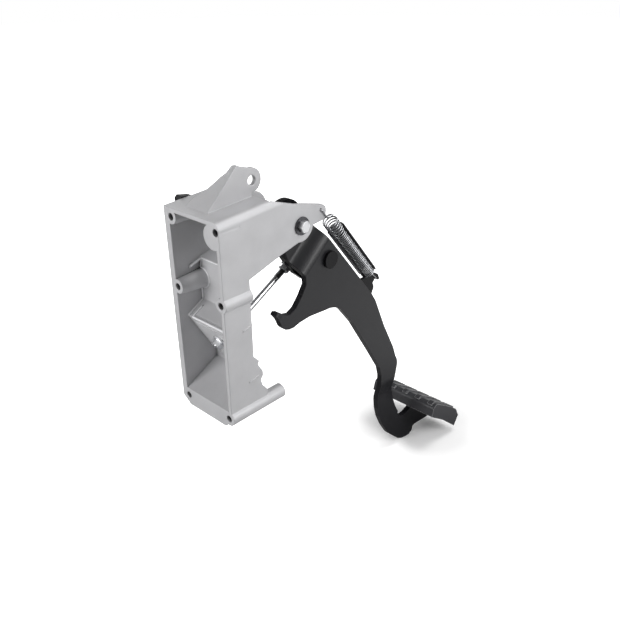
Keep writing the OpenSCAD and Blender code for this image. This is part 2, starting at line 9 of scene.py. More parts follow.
import bpy
import numpy as np
from mathutils import Matrix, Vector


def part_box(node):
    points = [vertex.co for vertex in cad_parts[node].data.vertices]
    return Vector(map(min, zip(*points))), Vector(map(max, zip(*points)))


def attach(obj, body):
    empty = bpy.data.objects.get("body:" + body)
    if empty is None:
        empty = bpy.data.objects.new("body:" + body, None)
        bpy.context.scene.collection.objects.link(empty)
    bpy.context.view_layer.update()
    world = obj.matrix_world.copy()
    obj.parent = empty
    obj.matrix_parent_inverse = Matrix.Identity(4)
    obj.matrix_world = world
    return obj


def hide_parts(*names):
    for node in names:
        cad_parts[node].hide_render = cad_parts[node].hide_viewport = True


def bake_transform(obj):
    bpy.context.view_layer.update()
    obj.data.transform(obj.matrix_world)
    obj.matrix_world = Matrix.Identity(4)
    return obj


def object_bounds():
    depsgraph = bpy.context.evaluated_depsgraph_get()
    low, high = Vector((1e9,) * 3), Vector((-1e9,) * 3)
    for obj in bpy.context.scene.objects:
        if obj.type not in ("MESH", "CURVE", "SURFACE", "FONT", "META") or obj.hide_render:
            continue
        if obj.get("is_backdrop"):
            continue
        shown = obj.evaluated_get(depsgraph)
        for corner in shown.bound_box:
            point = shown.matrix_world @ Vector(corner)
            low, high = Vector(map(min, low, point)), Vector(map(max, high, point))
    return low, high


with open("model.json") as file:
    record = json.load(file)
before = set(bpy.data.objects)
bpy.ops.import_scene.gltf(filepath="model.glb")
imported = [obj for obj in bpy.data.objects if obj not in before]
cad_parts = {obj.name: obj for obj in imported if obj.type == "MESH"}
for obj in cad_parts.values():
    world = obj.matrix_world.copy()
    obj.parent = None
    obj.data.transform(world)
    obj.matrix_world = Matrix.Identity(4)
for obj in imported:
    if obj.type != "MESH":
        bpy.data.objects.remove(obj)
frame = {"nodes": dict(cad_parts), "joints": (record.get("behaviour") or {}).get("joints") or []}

bl_info = {
    "name": "Clutch pedal assembly",
    "version": (1, 0, 0),
    "blender": (4, 5, 0),
    "location": "3D View > Sidebar > Pedal",
    "description": "Dresses the clutch pedal assembly and sets up its studio",
    "category": "Object",
}

MM = 0.001


def joint_place(name):
    """Where a joint of the frame stands, in millimetres."""
    joint = next(one for one in frame["joints"] if one["name"] == name)
    return np.array(joint["pos_m"]) / MM


# Joints of the frame: the pedal's cross bolt, the rod's stud and the hole in the casting's nose
PIVOT = joint_place("pedal_pivot")
STUD = joint_place("rod_pivot")
NOSE = joint_place("spring_swing")

# Spring, as in the part: notch on the pedal, the coil's slope, and the room for the hooks at both ends
NOTCH = np.array([272.4, NOSE[1], -22.8])
SLOPE = math.radians(50.4)
COIL_START = 21.5
COIL_END_GAP = 26.0
OPEN_PITCH = 4.6
COIL_STEPS = 36

# Push rod, as in the part: its slope, and the lock nut's far face along it from the stud
ROD_SLOPE = math.radians(28.54)
LOCK_NUT_END = 39.0

# Metric coarse thread of 8 mm: pitch, radius of the bead that draws its crest, and how deep that is sunk
THREAD_D = 8.0
THREAD_PITCH = 1.25
THREAD_CREST = 0.38
THREAD_SUNK = 0.1
THREAD_STEPS = 24
# How far the bolt's thread starts inside its nut, and the turns that each thread shows
BOLT_THREAD_INSIDE = 0.6
BOLT_THREAD_TURNS = 4
ROD_THREAD_TURNS = 11

# Camera solved from the photograph: degrees, metres, and millimetres of focal length
CAMERA_AZIMUTH, CAMERA_ELEVATION, CAMERA_ROLL = -46.42, 27.04, 0.649
CAMERA_PLACE = (-0.4349, -0.5902, 0.3822)
CAMERA_FOCAL = 40.48

# Lamps: name, place, aim and side of the square in metres, power in watts
LAMPS = (
    ("key_lamp", (0.7, -1.85, 0.8), (0.15, 0, 0), 1.2, 29),
    ("top_lamp", (0.65, -0.3, 0.9), (0.42, -0.06, -0.35), 0.5, 5),
    ("front_lamp", (-1.75, 0.3, 0.6), (0.1, 0, 0), 1.2, 34),
    ("back_lamp", (0.6, 1.8, 0.5), (0.15, 0, 0), 1.2, 10),
)

# Light of the world on the object, where 1 shows white
AMBIENT = 0.17

# Floor in millimetres: radius, middle, number of sides, and gap below the object
FLOOR_R = 9000
FLOOR_MIDDLE_X = 300
FLOOR_SIDES = 64
FLOOR_GAP = 1.0

# Shadow in metres: its middle, how far from there it shows in full, and where it has faded out
SHADOW_X, SHADOW_Y = 0.42, -0.06
SHADOW_FULL = 0.06
SHADOW_GONE = 0.27


def linear(hex_colour):
    """sRGB hex colour to linear RGBA: each channel through the sRGB curve."""
    rgb = [int(hex_colour[i:i + 2], 16) / 255 for i in (1, 3, 5)]
    return tuple(c / 12.92 if c <= 0.04045 else ((c + 0.055) / 1.055) ** 2.4 for c in rgb) + (1.0,)


def add(tree, kind, inputs=None, **settings):
    """Adds a node, sets its properties, then fills or links its inputs by name or index."""
    node = tree.nodes.new(kind)
    for name, value in settings.items():
        setattr(node, name, value)
    for key, value in (inputs or {}).items():
        socket = node.inputs[key]
        if isinstance(value, bpy.types.NodeSocket):
            tree.links.new(value, socket)
        else:
            socket.default_value = value
    return node


def scale_for(width):
    """Noise scale that makes cells of a width in millimetres on coordinates in metres: one over the width."""
    return 1 / (width * MM)


def new_material(name):
    """An empty node material and its tree."""
    made = bpy.data.materials.new(name)
    made.use_nodes = True
    made.node_tree.nodes.clear()
    return made, made.node_tree


def finish_nodes(names, made):
    """Gives CAD nodes a material."""
    for name in names:
        piece = frame["nodes"][name]
        piece.data.materials.clear()
        piece.data.materials.append(made)


# Shapes


def mesh_object(name, points, faces, smooth=True):
    """A mesh object at the origin, from points in millimetres and the point numbers of each face."""
    mesh = bpy.data.meshes.new(name)
    mesh.from_pydata((np.asarray(points) * MM).tolist(), [], [list(map(int, f)) for f in faces])
    mesh.polygons.foreach_set("use_smooth", [smooth] * len(mesh.polygons))
    mesh.update()
    made = bpy.data.objects.new(name, mesh)
    bpy.context.scene.collection.objects.link(made)
    return made


def tube_faces(rings, sides):
    """Quads between the points of neighbouring rings, closed round each ring."""
    i, j = np.meshgrid(np.arange(rings - 1), np.arange(sides), indexing="ij")
    k = (j + 1) % sides
    quads = [i * sides + j, i * sides + k, (i + 1) * sides + k, (i + 1) * sides + j]
    return np.stack(quads, -1).reshape(-1, 4)


def swept_wire(line, radius, sides=12):
    """A round wire with closed ends: at each point of the line stands a circle square to the line's
    direction, and its first spoke is square to y, or to x where the line runs nearly along y."""
    line = np.asarray(line, float)
    along = np.gradient(line, axis=0)
    along /= np.linalg.norm(along, axis=1, keepdims=True)
    up = np.where(np.abs(along[:, 1:2]) > 0.75, [[1.0, 0, 0]], [[0, 1.0, 0]])
    u = np.cross(along, up)
    u /= np.linalg.norm(u, axis=1, keepdims=True)
    v = np.cross(along, u)
    a = np.linspace(0, 2 * np.pi, sides, endpoint=False)
    spokes = u[:, None] * np.cos(a)[None, :, None] + v[:, None] * np.sin(a)[None, :, None]
    points = (line[:, None] + radius * spokes).reshape(-1, 3)
    first = list(range(sides))
    last = [(len(line) - 1) * sides + k for k in first]
    return points, tube_faces(len(line), sides).tolist() + [first[::-1], last]


def smooth_line(points, step=1.5):
    """Points about a step apart along straight runs, so that a swept wire keeps its size between corners."""
    points = np.asarray(points, float)
    runs = [points[:1]]
    for a, b in zip(points[:-1], points[1:]):
        count = max(1, int(np.linalg.norm(b - a) / step))
        runs.append(a + (b - a) * np.arange(1, count + 1)[:, None] / count)
    return np.vstack(runs)


def helix(start, along, radius, pitch, turns):
    """A helix about the line from start along a unit direction: each turn moves on by one pitch."""
    start, along = np.asarray(start, float), np.asarray(along, float)
    u = np.array([0, 1.0, 0]) if abs(along[1]) < 0.9 else np.array([1.0, 0, 0])
    v = np.cross(along, u)
    n = np.linspace(0, turns, turns * THREAD_STEPS + 1)[:, None]
    a = 2 * np.pi * n
    return start + along * pitch * n + radius * (np.cos(a) * u + np.sin(a) * v)


def fillet_lines():
    """Centre line and radius of each cast fillet: straight runs along the corners of the bracket's
    interior, and an arc round the middle boss. The small amounts sink a bead into its corner."""
    # Planes of the casting: far and near wall in y, rear wall in x, ledge in z
    far, near, rear, ledge = 41.3, -38.9, 36.8, 59.0
    # Edge of the sill beside the far wall and side of the shelf's recess, in y
    sill, recess = 38.0, 33.0
    # The step in front of the sill: its front in x, its drop, and where its rear edge ends in z
    step_front, step_drop, step_foot = 20.5, 5.9, 46.5
    # Upper end of the corner between rear wall and far wall, below the middle boss
    corner_top = 20.0
    # The shelf's upper and lower end in x and z, and the length of the rim from the lower end
    shelf_top, lip = np.array([37.0, 3.8]), np.array([12.6, -10.4])
    rim_length = 19.0
    rim_end = lip + rim_length * (shelf_top - lip) / np.linalg.norm(shelf_top - lip)
    # Circle where the middle boss meets the rear wall
    boss_y, boss_z, boss_r = 38.9, 33.0, 12.8
    a = np.radians(np.linspace(-8, 188, 40))
    boss = np.stack([np.full(len(a), rear), boss_y - boss_r * np.sin(a), boss_z + boss_r * np.cos(a)], -1)
    return {
        "sill_fillet": ([[step_front, sill, ledge - step_drop],
                         [rear, sill, ledge - 0.3],
                         [rear, far, step_foot]], 0.9),
        "boss_fillet": (boss, 0.9),
        "wall_fillet": ([[rear, far, corner_top],
                         [rear, far, shelf_top[1]],
                         [shelf_top[0], far, shelf_top[1]],
                         [lip[0] + 1.5, far, lip[1] + 1.0],
                         [lip[0] + 0.2, far - 0.8, lip[1] - 0.6]], 1.1),
        "lip_rim": ([[lip[0] + 0.3, recess, lip[1] + 0.4],
                     [lip[0] + 0.3, near, lip[1] + 0.4]], 1.7),
        "shelf_rim": ([[lip[0] + 1.0, recess, lip[1] + 0.8],
                       [rim_end[0], recess, rim_end[1] + 0.1]], 1.1),
        "ledge_fillet": ([[rear + 0.4, sill + 0.5, ledge - 0.4],
                          [rear + 0.4, near, ledge - 0.4]], 1.0),
    }


def spring_axes():
    """Directions of the spring: along the coil, sideways, and up from the coil."""
    x = np.array([math.cos(SLOPE), 0.0, -math.sin(SLOPE)])
    y = np.array([0.0, 1.0, 0.0])
    return x, y, np.cross(x, y)


def spring_line(sizes):
    """Centre line of the spring wire on the spring's own axes, from the nose: a hook bent out of the wall,
    a helix whose pitch is wide for the open turns and close for the rest, and a hook in the notch."""
    x, _, z = spring_axes()
    length, up = (NOTCH - NOSE) @ x, (NOTCH - NOSE) @ z
    start, end = COIL_START, length - COIL_END_GAP
    radius = (sizes.coil_d - sizes.wire_d) / 2 / MM
    close_pitch = (end - start - sizes.open_turns * OPEN_PITCH) / (sizes.turns - sizes.open_turns)
    n = np.linspace(0, sizes.turns, sizes.turns * COIL_STEPS + 1)
    opened = np.minimum(n, sizes.open_turns)
    rise = opened * OPEN_PITCH + (n - opened) * close_pitch
    coil = np.stack([start + rise, radius * np.sin(2 * np.pi * n), radius * np.cos(2 * np.pi * n)], -1)
    # The bend at both ends: distance from the hole along the spring, and sideways
    bend = np.array([[0, 6], [0, 4], [0, 2], [0.35, 0.9], [1.2, 0.25], [2.4, 0]])
    level = np.zeros((len(bend), 1))
    nose_bend = np.hstack([bend, level])
    notch_bend = np.hstack([length - bend[:, :1], bend[:, 1:], level + up])[::-1]
    nose_hook = [[6, 0, 0], [start - 6, 0, 0], [start - 4, 0, 0.12 * radius],
                 [start - 2.2, 0, 0.5 * radius], [start - 0.8, 0, 0.86 * radius]]
    notch_hook = [[end + 0.8, 0, 0.86 * radius], [end + 2.2, 0, 0.6 * radius],
                  [end + 4.5, 0, 0.3 * radius], [end + 8, 0, 0.6 * up], [length - 6, 0, up]]
    return np.vstack([nose_bend, nose_hook, coil, notch_hook, notch_bend])


# Materials


def cast_aluminium(name, tint):
    """Pressure-cast aluminium, shot-blasted all over, with painted shade in bores and tight corners; the
    fillets' lighter tint is a painted highlight.
    """
    # Blasting makes it pale and matt, so it is only partly metallic, with faint clouds 36 mm wide. Its
    # grain of about 0.3 mm is too fine to show, so it is drawn 1.1 mm wide
    made, tree = new_material(name)
    where = add(tree, "ShaderNodeTexCoord").outputs["Object"]
    grain = add(tree, "ShaderNodeTexNoise", {"Vector": where, "Scale": scale_for(1.1),
                                             "Detail": 3.0, "Roughness": 0.6})
    cloud = add(tree, "ShaderNodeTexNoise", {"Vector": where, "Scale": scale_for(36),
                                             "Detail": 4.0, "Roughness": 0.55})
    shade = add(tree, "ShaderNodeMapRange", {"Value": cloud.outputs["Fac"], "From Min": 0.3, "From Max": 0.7,
                                             "To Min": 0.93, "To Max": 1.03})
    # Painted shade: bores and tight corners are darkened within a centimetre, by ambient occlusion
    deep = add(tree, "ShaderNodeAmbientOcclusion", {"Distance": 10 * MM}, samples=8, only_local=True)
    painted_shade = add(tree, "ShaderNodeMapRange", {"Value": deep.outputs["AO"], "From Min": 0.25, "From Max": 0.55,
                                            "To Min": 0.02, "To Max": 1.0})
    clouds_and_painted_shade = add(tree, "ShaderNodeMath", {0: shade.outputs["Result"], 1: painted_shade.outputs["Result"]},
                 operation="MULTIPLY")
    colour = add(tree, "ShaderNodeMix", {"Factor": 1.0, "A": linear(tint), "B": clouds_and_painted_shade.outputs[0]},
                 data_type="RGBA", blend_type="MULTIPLY")
    rough = add(tree, "ShaderNodeMapRange", {"Value": grain.outputs["Fac"], "To Min": 0.46, "To Max": 0.58})
    # Cast edges are rounded to 1.8 mm
    edge = add(tree, "ShaderNodeBevel", {"Radius": 1.8 * MM}, samples=8)
    bump = add(tree, "ShaderNodeBump", {"Height": grain.outputs["Fac"], "Strength": 0.22,
                                        "Distance": 0.4 * MM, "Normal": edge.outputs["Normal"]})
    skin = add(tree, "ShaderNodeBsdfPrincipled", {"Base Color": colour.outputs["Result"], "Metallic": 0.35,
                                                  "Roughness": rough.outputs["Result"],
                                                  "Normal": bump.outputs["Normal"]})
    add(tree, "ShaderNodeOutputMaterial", {"Surface": skin.outputs["BSDF"]})
    return made


def zinc_plate(tint):
    """Steel fasteners with clear passivated zinc plating."""
    # Plating is near white and half glossy, with faint cloudy patches 2.9 mm wide
    made, tree = new_material("bright_zinc_plated_steel")
    where = add(tree, "ShaderNodeTexCoord").outputs["Object"]
    cloud = add(tree, "ShaderNodeTexNoise", {"Vector": where, "Scale": scale_for(2.9), "Detail": 3.0})
    rough = add(tree, "ShaderNodeMapRange", {"Value": cloud.outputs["Fac"], "To Min": 0.3, "To Max": 0.5})
    edge = add(tree, "ShaderNodeBevel", {"Radius": 0.5 * MM}, samples=6)
    skin = add(tree, "ShaderNodeBsdfPrincipled", {"Base Color": linear(tint), "Metallic": 1.0,
                                                  "Roughness": rough.outputs["Result"],
                                                  "Normal": edge.outputs["Normal"]})
    add(tree, "ShaderNodeOutputMaterial", {"Surface": skin.outputs["BSDF"]})
    return made


def black_paint(name, tint, radius, gloss, ior, wear_and_highlight=0.0):
    """Black finish on pressed steel: radius rounds the edges, in millimetres, gloss is the lowest roughness,
    and wear_and_highlight is the share of unpainted steel colour along the edges, partly worn paint and
    partly a painted edge highlight."""
    # Dipped and stoved paint is satin, with an orange peel 2.4 mm wide and clouds of gloss 33 mm wide
    made, tree = new_material(name)
    where = add(tree, "ShaderNodeTexCoord").outputs["Object"]
    peel = add(tree, "ShaderNodeTexNoise", {"Vector": where, "Scale": scale_for(2.4), "Detail": 2.0})
    cloud = add(tree, "ShaderNodeTexNoise", {"Vector": where, "Scale": scale_for(33), "Detail": 3.0})
    rough = add(tree, "ShaderNodeMapRange", {"Value": cloud.outputs["Fac"], "To Min": gloss,
                                             "To Max": gloss + 0.12})
    edge = add(tree, "ShaderNodeBevel", {"Radius": radius * MM}, samples=6)
    bump = add(tree, "ShaderNodeBump", {"Height": peel.outputs["Fac"], "Strength": 0.12,
                                        "Distance": 0.3 * MM, "Normal": edge.outputs["Normal"]})
    # Edges turn to unpainted steel colour where the rounded normal leaves the flat one, broken up by noise
    # 3.8 mm wide: partly worn paint and partly a painted edge highlight
    flat = add(tree, "ShaderNodeNewGeometry")
    turned = add(tree, "ShaderNodeVectorMath", {0: edge.outputs["Normal"], 1: flat.outputs["Normal"]},
                 operation="DOT_PRODUCT")
    corner = add(tree, "ShaderNodeMapRange", {"Value": turned.outputs["Value"], "From Min": 0.99,
                                              "From Max": 0.9, "To Min": 0.0, "To Max": wear_and_highlight})
    breakup_noise = add(tree, "ShaderNodeTexNoise", {"Vector": where, "Scale": scale_for(3.8), "Detail": 4.0})
    breakup = add(tree, "ShaderNodeMapRange", {"Value": breakup_noise.outputs["Fac"], "From Min": 0.3,
                                              "From Max": 0.48})
    bare_and_highlit = add(tree, "ShaderNodeMath", {0: corner.outputs["Result"], 1: breakup.outputs["Result"]},
               operation="MULTIPLY")
    colour = add(tree, "ShaderNodeMix", {"Factor": bare_and_highlit.outputs[0], "A": linear(tint),
                                         "B": linear("#a8a8aa")}, data_type="RGBA")
    skin = add(tree, "ShaderNodeBsdfPrincipled", {"Base Color": colour.outputs["Result"], "Metallic": 0.0,
                                                  "Roughness": rough.outputs["Result"], "IOR": ior,
                                                  "Normal": bump.outputs["Normal"]})
    add(tree, "ShaderNodeOutputMaterial", {"Surface": skin.outputs["BSDF"]})
    return made


def turned_steel(name, tint):
    """Drawn, turned or stamped steel: bright on the rod and sleeve, phosphated on the washer and thread."""
    # The tool leaves lines too fine to show, so the polish varies in patches 1.4 mm wide instead
    made, tree = new_material(name)
    where = add(tree, "ShaderNodeTexCoord").outputs["Object"]
    polish = add(tree, "ShaderNodeTexNoise", {"Vector": where, "Scale": scale_for(1.4), "Detail": 2.0})
    rough = add(tree, "ShaderNodeMapRange", {"Value": polish.outputs["Fac"], "To Min": 0.16, "To Max": 0.32})
    skin = add(tree, "ShaderNodeBsdfPrincipled", {"Base Color": linear(tint), "Metallic": 1.0,
                                                  "Roughness": rough.outputs["Result"]})
    add(tree, "ShaderNodeOutputMaterial", {"Surface": skin.outputs["BSDF"]})
    return made


def spring_wire_steel(tint):
    """Patented drawn spring wire with a light film of oil."""
    # Drawing leaves it glossy grey, a little darker in patches 6.3 mm wide
    made, tree = new_material("drawn_spring_steel")
    where = add(tree, "ShaderNodeTexCoord").outputs["Object"]
    patch = add(tree, "ShaderNodeTexNoise", {"Vector": where, "Scale": scale_for(6.3), "Detail": 3.0})
    colour = add(tree, "ShaderNodeMix", {"Factor": patch.outputs["Fac"], "A": linear(tint),
                                         "B": linear("#949598")}, data_type="RGBA")
    # Painted shade: the wire is darkened in the gaps between the turns, by ambient occlusion within 4 mm
    gap = add(tree, "ShaderNodeAmbientOcclusion", {"Distance": 4 * MM}, samples=8, only_local=True)
    painted_shade = add(tree, "ShaderNodeMapRange", {"Value": gap.outputs["AO"], "From Min": 0.5, "From Max": 0.85,
                                            "To Min": 0.02, "To Max": 1.0})
    shaded = add(tree, "ShaderNodeMix", {"Factor": 1.0, "A": colour.outputs["Result"],
                                         "B": painted_shade.outputs["Result"]},
                 data_type="RGBA", blend_type="MULTIPLY")
    skin = add(tree, "ShaderNodeBsdfPrincipled", {"Base Color": shaded.outputs["Result"], "Metallic": 1.0,
                                                  "Roughness": 0.3})
    add(tree, "ShaderNodeOutputMaterial", {"Surface": skin.outputs["BSDF"]})
    return made


def moulded_plastic(name, tint):
    """Injection-moulded polyamide or acetal from a spark-eroded mould."""
    # The mould leaves a matt grain of about 0.1 mm, too fine to show, so it is drawn 0.67 mm wide
    made, tree = new_material(name)
    where = add(tree, "ShaderNodeTexCoord").outputs["Object"]
    grain = add(tree, "ShaderNodeTexNoise", {"Vector": where, "Scale": scale_for(0.67), "Detail": 2.0})
    rough = add(tree, "ShaderNodeMapRange", {"Value": grain.outputs["Fac"], "To Min": 0.45, "To Max": 0.6})
    edge = add(tree, "ShaderNodeBevel", {"Radius": 0.8 * MM}, samples=6)
    bump = add(tree, "ShaderNodeBump", {"Height": grain.outputs["Fac"], "Strength": 0.15,
                                        "Distance": 0.2 * MM, "Normal": edge.outputs["Normal"]})
    skin = add(tree, "ShaderNodeBsdfPrincipled", {"Base Color": linear(tint),
                                                  "Roughness": rough.outputs["Result"],
                                                  "Normal": bump.outputs["Normal"]})
    add(tree, "ShaderNodeOutputMaterial", {"Surface": skin.outputs["BSDF"]})
    return made


# Properties


class PedalSizes(bpy.types.PropertyGroup):
    """Sizes of the spring wire, in metres."""

    coil_d: bpy.props.FloatProperty(
        name="Coil diameter", description="Outer diameter of the spring's coil",
        default=0.020, min=0.018, max=0.0205, subtype="DISTANCE", unit="LENGTH")
    wire_d: bpy.props.FloatProperty(
        name="Wire diameter", description="Diameter of the spring wire",
        default=0.0020, min=0.0015, max=0.003, subtype="DISTANCE", unit="LENGTH")
    turns: bpy.props.IntProperty(
        name="Turns", description="Number of turns of the spring", default=36, min=32, max=40)
    open_turns: bpy.props.IntProperty(
        name="Open turns", description="Turns with wide gaps between them at the top end",
        default=6, min=0, max=12)


class PedalColours(bpy.types.PropertyGroup):
    """Colours of the finishes, as sRGB hex."""

    casting: bpy.props.StringProperty(
        name="Casting", description="Colour of the aluminium casting", default="#bababc")
    # The fillets' colour is lighter than the casting's: a painted highlight along the interior corners
    fillet: bpy.props.StringProperty(
        name="Fillets", description="Colour of the casting's fettled fillets", default="#e0e0e2")
    zinc: bpy.props.StringProperty(
        name="Zinc", description="Colour of the zinc plating", default="#f0f1f3")
    paint: bpy.props.StringProperty(
        name="Pedal paint", description="Colour of the pedal's paint", default="#19191c")
    # The tread's paint is tinted lighter than the pedal's paint: painted light on the same black paint
    pad: bpy.props.StringProperty(
        name="Pad paint", description="Colour of the tread's paint", default="#303033")
    dark_paint: bpy.props.StringProperty(
        name="Dark steel", description="Colour of the blackened steel parts", default="#0d0d0f")
    steel: bpy.props.StringProperty(
        name="Bright steel", description="Colour of the turned steel", default="#d6d7d9")
    wire: bpy.props.StringProperty(
        name="Spring wire", description="Colour of the spring wire", default="#cccdd0")
    plastic: bpy.props.StringProperty(
        name="Black plastic", description="Colour of the moulded block and sleeve", default="#18181a")
    washer: bpy.props.StringProperty(
        name="Phosphated steel", description="Colour of the near washer and the rod's thread",
        default="#5c5c5f")
    bush: bpy.props.StringProperty(
        name="Bush", description="Colour of the acetal bushes", default="#d8d4c4")


# Operators


class PEDAL_OT_casting(bpy.types.Operator):
    """Finish the bracket casting"""
    bl_idname = "pedal.casting"
    bl_label = "Bracket casting"

    def execute(self, context):
        finish_nodes(["bracket_casting"],
                     cast_aluminium("blasted_cast_aluminium", context.scene.pedal_colours.casting))
        return {"FINISHED"}


class PEDAL_OT_fillets(bpy.types.Operator):
    """Make the cast fillets in the corners of the bracket's interior"""
    bl_idname = "pedal.fillets"
    bl_label = "Interior fillets"

    def execute(self, context):
        # The fillets take the lighter fillet tint, a painted highlight
        skin = cast_aluminium("highlighted_cast_aluminium", context.scene.pedal_colours.fillet)
        for name, (line, radius) in fillet_lines().items():
            made = mesh_object(name, *swept_wire(smooth_line(line), radius))
            made.data.materials.append(skin)
            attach(made, "bracket")
        return {"FINISHED"}


class PEDAL_OT_threads(bpy.types.Operator):
    """Make the threads on the pivot bolt's end and on the push rod next to its lock nut"""
    bl_idname = "pedal.threads"
    bl_label = "Threads"

    def execute(self, context):
        colours = context.scene.pedal_colours
        zinc = zinc_plate(colours.zinc)
        phosphate = turned_steel("phosphated_thread", colours.washer)
        # The bolt's thread starts inside its nut, and the rod's at the far face of its lock nut
        nut_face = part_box("pivot_nut")[1].y / MM
        bolt_start = PIVOT + [0, nut_face - BOLT_THREAD_INSIDE, 0]
        rod_way = np.array([-math.cos(ROD_SLOPE), 0.0, -math.sin(ROD_SLOPE)])
        rod_start = STUD + LOCK_NUT_END * rod_way
        core_r = THREAD_D / 2 - THREAD_SUNK
        for name, start, way, turns, body, slot, skin in (
                ("bolt_thread", bolt_start, (0, 1, 0), BOLT_THREAD_TURNS, "bracket", "zinc", zinc),
                ("rod_thread", rod_start, rod_way, ROD_THREAD_TURNS, "rod", "rod_steel", phosphate)):
            line = helix(start, way, core_r, THREAD_PITCH, turns)
            made = mesh_object(name, *swept_wire(line, THREAD_CREST, sides=6))
            made.data.materials.append(skin)
            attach(made, body)
        return {"FINISHED"}


class PEDAL_OT_fasteners(bpy.types.Operator):
    """Finish the zinc-plated bolt, far washer, nuts, screws and stop washer"""
    bl_idname = "pedal.fasteners"
    bl_label = "Fasteners"

    def execute(self, context):
        finish_nodes(["pivot_bolt", "far_washer", "pivot_nut", "switch_screws", "rod_lock_nut",
                      "stop_washer", "stop_nut"], zinc_plate(context.scene.pedal_colours.zinc))
        return {"FINISHED"}


class PEDAL_OT_pedal(bpy.types.Operator):
    """Finish the painted pedal and pad and the blackened parts"""
    bl_idname = "pedal.pedal"
    bl_label = "Pedal"

    def execute(self, context):
        colours = context.scene.pedal_colours
        finish_nodes(["pedal_arm"], black_paint(
            "satin_black_stoved_paint", colours.paint, radius=0.9, gloss=0.26, ior=1.4))
        # The tread's edges take the light steel colour: partly worn paint and partly a painted edge highlight
        finish_nodes(["pedal_pad"], black_paint(
            "worn_and_highlit_black_paint", colours.pad, radius=1.1, gloss=0.3, ior=1.45, wear_and_highlight=0.8))
        # Blackening is a thin film that mirrors less than paint
        finish_nodes(["hub_tube", "inner_lever", "cross_stud", "stud_clip", "spring_hook", "rod_fork"],
                     black_paint("blackened_steel", colours.dark_paint, radius=0.6, gloss=0.12, ior=1.25))
        return {"FINISHED"}


class PEDAL_OT_rod(bpy.types.Operator):
    """Finish the bright push rod and pivot sleeve and the phosphated near washer"""
    bl_idname = "pedal.rod"
    bl_label = "Push rod"

    def execute(self, context):
        colours = context.scene.pedal_colours
        finish_nodes(["push_rod", "pivot_sleeve"], turned_steel("bright_turned_steel", colours.steel))
        finish_nodes(["near_washer"], turned_steel("phosphated_steel", colours.washer))
        return {"FINISHED"}


class PEDAL_OT_plastics(bpy.types.Operator):
    """Finish the moulded block, the half sleeve and the bushes"""
    bl_idname = "pedal.plastics"
    bl_label = "Plastics"

    def execute(self, context):
        colours = context.scene.pedal_colours
        finish_nodes(["switch_block", "spring_sleeve"], moulded_plastic("black_polyamide", colours.plastic))
        finish_nodes(["near_bush", "far_bush"], moulded_plastic("natural_acetal", colours.bush))
        return {"FINISHED"}


class PEDAL_OT_spring(bpy.types.Operator):
    """Make the return spring's wire"""
    bl_idname = "pedal.spring"
    bl_label = "Return spring"

    def execute(self, context):
        sizes = context.scene.pedal_sizes
        axes = np.stack(spring_axes())
        line = NOSE + spring_line(sizes) @ axes
        made = mesh_object("spring_wire", *swept_wire(line, sizes.wire_d / 2 / MM))
        made.data.materials.append(spring_wire_steel(context.scene.pedal_colours.wire))
        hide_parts("return_spring")
        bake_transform(made)
        return {"FINISHED"}


# Stage


def level_axes(back):
    """Right and up directions of a view whose back is given: right is z cross back, and up is back
    cross right."""
    right = np.cross([0, 0, 1.0], back)
    right /= np.linalg.norm(right)
    return right, np.cross(back, right)


def put(name, data, right, up, back, place):
    """Links an object whose axes are right, up and back, and which stands at a place."""
    made = bpy.data.objects.new(name, data)
    bpy.context.scene.collection.objects.link(made)
    turn = np.eye(4)
    turn[:3] = np.stack([right, up, back, place], -1)
    made.matrix_world = Matrix(turn.tolist())
    return made


def photo_camera():
    """The photograph's camera: azimuth and elevation turn its back, and roll turns right and up about it."""
    azimuth, elevation, roll = map(math.radians, (CAMERA_AZIMUTH, CAMERA_ELEVATION, CAMERA_ROLL))
    back = np.array([math.sin(azimuth) * math.cos(elevation),
                     -math.cos(azimuth) * math.cos(elevation),
                     math.sin(elevation)])
    right, up = level_axes(back)
    rolled_right = math.cos(roll) * right - math.sin(roll) * up
    rolled_up = math.sin(roll) * right + math.cos(roll) * up
    lens = bpy.data.cameras.new("photo_camera")
    lens.sensor_width = 36.0
    lens.lens = CAMERA_FOCAL
    lens.clip_end = 50.0
    bpy.context.scene.camera = put("photo_camera", lens, rolled_right, rolled_up, back, CAMERA_PLACE)


def lamp(name, place, aim, size, power):
    """A square area lamp at place that looks at aim."""
    light = bpy.data.lights.new(name, "AREA")
    light.shape = "SQUARE"
    light.size = size
    light.energy = power
    back = np.array(place, float) - np.array(aim, float)
    back /= np.linalg.norm(back)
    put(name, light, *level_axes(back), back, place)


def camera_ray(tree):
    """1 for camera and transmission rays, 0 for the rest."""
    path = add(tree, "ShaderNodeLightPath")
    return add(tree, "ShaderNodeMath", {0: path.outputs["Is Camera Ray"],
                                        1: path.outputs["Is Transmission Ray"]},
               operation="MAXIMUM").outputs[0]


def white_world():
    """A world that shows white and lights the object softly."""
    world = bpy.data.worlds.new("white_studio")
    world.use_nodes = True
    tree = world.node_tree
    tree.nodes.clear()
    strength = add(tree, "ShaderNodeMapRange", {"Value": camera_ray(tree), "To Min": AMBIENT,
                                                "To Max": 1.0})
    sky = add(tree, "ShaderNodeBackground", {"Color": (1, 1, 1, 1), "Strength": strength.outputs["Result"]})
    add(tree, "ShaderNodeOutputWorld", {"Surface": sky.outputs["Background"]})
    bpy.context.scene.world = world


